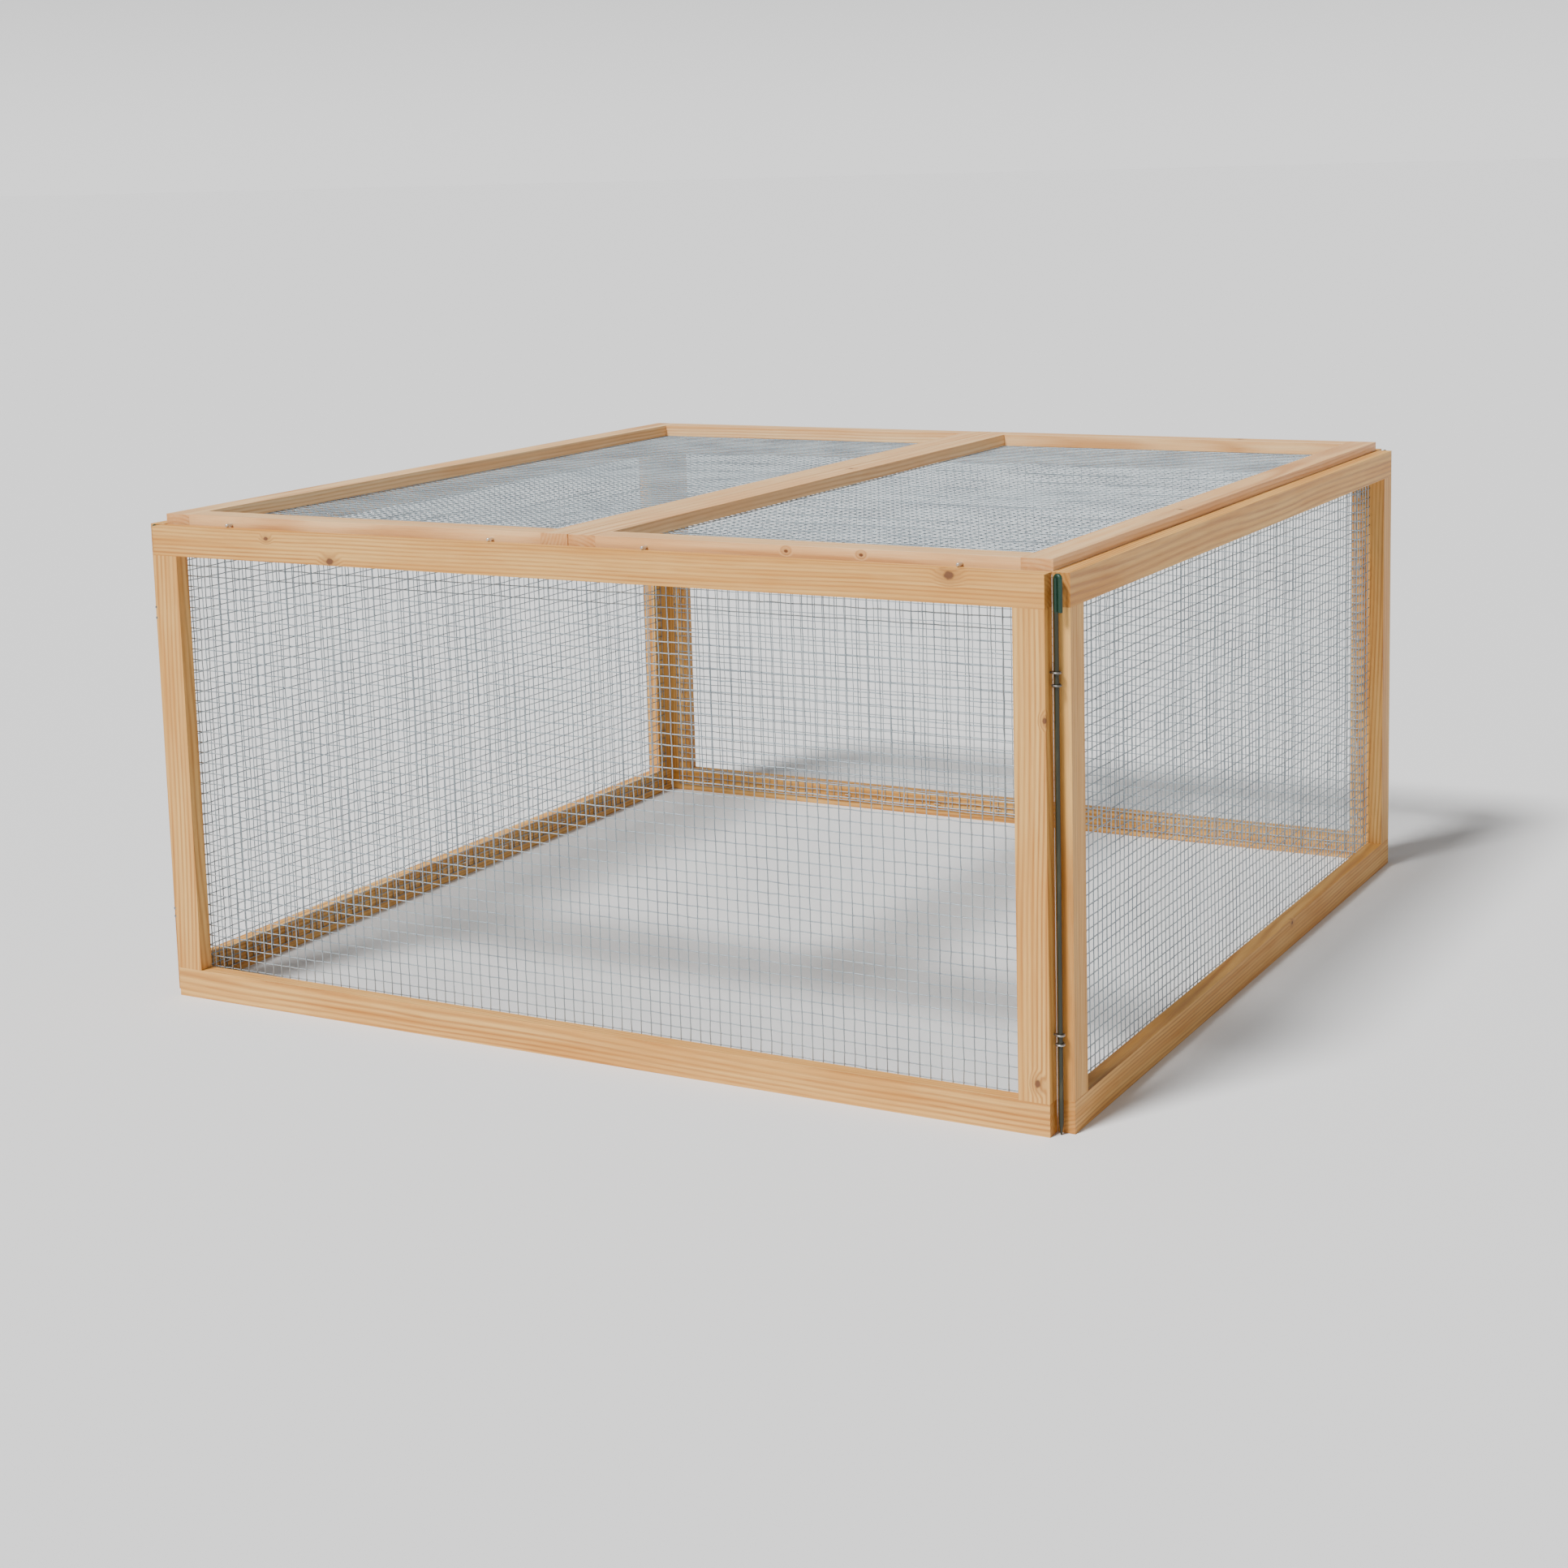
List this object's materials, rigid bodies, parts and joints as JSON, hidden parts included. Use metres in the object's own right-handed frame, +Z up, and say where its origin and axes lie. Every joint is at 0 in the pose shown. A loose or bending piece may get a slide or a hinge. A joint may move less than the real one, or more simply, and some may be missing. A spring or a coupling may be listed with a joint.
{
  "type": "rabbit run",
  "caption": "Open-bottomed rabbit run: timber frames with square welded mesh on all sides, joined by hooked corner rods through screw eyes, with lift-out mesh lids.",
  "frame": {"origin": "centre of the footprint, at ground level", "axes": "+Z up; +Y from the front panel towards the back panel; +X towards the right-hand panel as seen from the front; the seam between the two lids runs along Y"},
  "size_m": [1.189, 1.189, 0.592],
  "materials": {
    "panel_timber": "planed softwood, honey coloured, open grain along each bar",
    "lid_timber": "planed softwood, paler and slightly pink",
    "galvanised_mesh": "dull galvanised wire",
    "staple_wire": "bright galvanised",
    "zinc_plated_steel": "bright zinc plating",
    "green_coating": "dark green plastic coating, satin"
  },
  "bodies": {
    "run": {"front_top_rail": "panel_timber", "front_bottom_rail": "panel_timber", "front_left_stile": "panel_timber", "front_right_stile": "panel_timber", "front_mesh": "galvanised_mesh", "front_staples": "staple_wire", "front_eyes": "zinc_plated_steel", "right_top_rail": "panel_timber", "right_bottom_rail": "panel_timber", "right_left_stile": "panel_timber", "right_right_stile": "panel_timber", "right_mesh": "galvanised_mesh", "right_staples": "staple_wire", "right_eyes": "zinc_plated_steel", "back_top_rail": "panel_timber", "back_bottom_rail": "panel_timber", "back_left_stile": "panel_timber", "back_right_stile": "panel_timber", "back_mesh": "galvanised_mesh", "back_staples": "staple_wire", "back_eyes": "zinc_plated_steel", "left_top_rail": "panel_timber", "left_bottom_rail": "panel_timber", "left_left_stile": "panel_timber", "left_right_stile": "panel_timber", "left_mesh": "galvanised_mesh", "left_staples": "staple_wire", "left_eyes": "zinc_plated_steel"},
    "lid_left": {"lid_left_outer_bar": "lid_timber", "lid_left_inner_bar": "lid_timber", "lid_left_front_rail": "lid_timber", "lid_left_back_rail": "lid_timber", "lid_left_mesh": "galvanised_mesh", "lid_left_staples": "staple_wire", "lid_left_pins": "zinc_plated_steel"},
    "lid_right": {"lid_right_outer_bar": "lid_timber", "lid_right_inner_bar": "lid_timber", "lid_right_front_rail": "lid_timber", "lid_right_back_rail": "lid_timber", "lid_right_mesh": "galvanised_mesh", "lid_right_staples": "staple_wire", "lid_right_pins": "zinc_plated_steel"},
    "rod_front_left": {"rod_front_left": "green_coating"},
    "rod_front_right": {"rod_front_right": "green_coating"},
    "rod_back_right": {"rod_back_right": "green_coating"},
    "rod_back_left": {"rod_back_left": "green_coating"}
  },
  "joints": [
    {"name": "lid_left_lift", "type": "slide", "parent": "run", "child": "lid_left", "axis": [0, 0, 1], "range_m": [0, 0.3]},
    {"name": "lid_right_lift", "type": "slide", "parent": "run", "child": "lid_right", "axis": [0, 0, 1], "range_m": [0, 0.3]},
    {"name": "rod_front_left_pull", "type": "slide", "parent": "run", "child": "rod_front_left", "axis": [0, 0, 1], "range_m": [0, 0.6]},
    {"name": "rod_front_right_pull", "type": "slide", "parent": "run", "child": "rod_front_right", "axis": [0, 0, 1], "range_m": [0, 0.6]},
    {"name": "rod_back_right_pull", "type": "slide", "parent": "run", "child": "rod_back_right", "axis": [0, 0, 1], "range_m": [0, 0.6]},
    {"name": "rod_back_left_pull", "type": "slide", "parent": "run", "child": "rod_back_left", "axis": [0, 0, 1], "range_m": [0, 0.6]}
  ]
}
